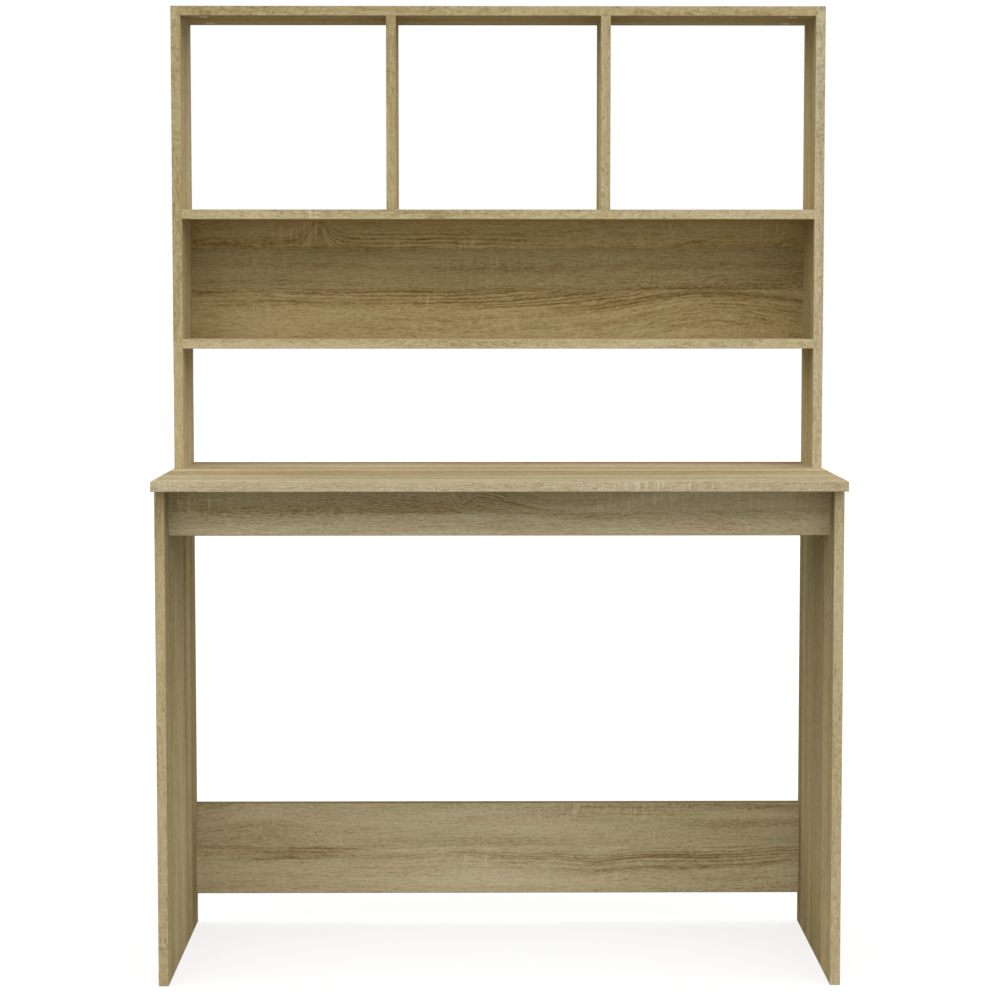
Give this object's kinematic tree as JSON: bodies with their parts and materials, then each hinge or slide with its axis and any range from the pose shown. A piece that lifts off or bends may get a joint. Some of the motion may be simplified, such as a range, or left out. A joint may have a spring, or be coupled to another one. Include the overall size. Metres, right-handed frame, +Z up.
{
  "type": "study desk",
  "caption": "Free-standing study desk of oak-look boards: a writing top on panel legs with an apron and a stretcher, and a shelf hutch with a closed-back bay and open cubbies.",
  "frame": {"origin": "on the floor, under the middle of the desk top's outline", "axes": "+Z up, +X to the right as a seated person sees it, +Y away from that person, to the back"},
  "size_m": [1.02, 0.45, 1.48],
  "materials": {
    "oak_decor_board": "melamine-faced chipboard printed with a light oak grain, satin",
    "oak_decor_edge_band": "printed plastic edge band, satin",
    "zinc_cam": "die-cast zinc, dull",
    "plated_steel": "zinc-plated steel",
    "beech_dowel": "bare turned beech"
  },
  "bodies": {
    "root": {"desk_top": "oak_decor_board", "left_leg_panel": "oak_decor_board", "right_leg_panel": "oak_decor_board", "front_apron": "oak_decor_board", "rear_stretcher": "oak_decor_board", "hutch_left_side": "oak_decor_board", "hutch_right_side": "oak_decor_board", "hutch_top_board": "oak_decor_board", "upper_shelf": "oak_decor_board", "lower_shelf": "oak_decor_board", "hutch_back_panel": "oak_decor_board", "left_divider": "oak_decor_board", "right_divider": "oak_decor_board", "desk_top_edge_band": "oak_decor_edge_band", "left_leg_panel_edge_band": "oak_decor_edge_band", "right_leg_panel_edge_band": "oak_decor_edge_band", "front_apron_edge_band": "oak_decor_edge_band", "rear_stretcher_edge_band": "oak_decor_edge_band", "hutch_left_side_edge_band": "oak_decor_edge_band", "hutch_right_side_edge_band": "oak_decor_edge_band", "hutch_top_board_edge_band": "oak_decor_edge_band", "upper_shelf_edge_band": "oak_decor_edge_band", "lower_shelf_edge_band": "oak_decor_edge_band", "left_divider_edge_band": "oak_decor_edge_band", "right_divider_edge_band": "oak_decor_edge_band", "leg_panel_cams": "zinc_cam", "leg_panel_cam_bolts": "plated_steel", "leg_panel_dowels": "beech_dowel", "apron_cams": "zinc_cam", "apron_cam_bolts": "plated_steel", "apron_dowels": "beech_dowel", "stretcher_cams": "zinc_cam", "stretcher_cam_bolts": "plated_steel", "stretcher_dowels": "beech_dowel", "hutch_side_cams": "zinc_cam", "hutch_side_cam_bolts": "plated_steel", "hutch_side_dowels": "beech_dowel", "hutch_top_cams": "zinc_cam", "hutch_top_cam_bolts": "plated_steel", "hutch_top_dowels": "beech_dowel", "upper_shelf_cams": "zinc_cam", "upper_shelf_cam_bolts": "plated_steel", "upper_shelf_dowels": "beech_dowel", "lower_shelf_cams": "zinc_cam", "lower_shelf_cam_bolts": "plated_steel", "lower_shelf_dowels": "beech_dowel", "back_panel_cams": "zinc_cam", "back_panel_cam_bolts": "plated_steel", "back_panel_dowels": "beech_dowel", "divider_dowels": "beech_dowel", "divider_screws": "plated_steel"}
  },
  "joints": []
}
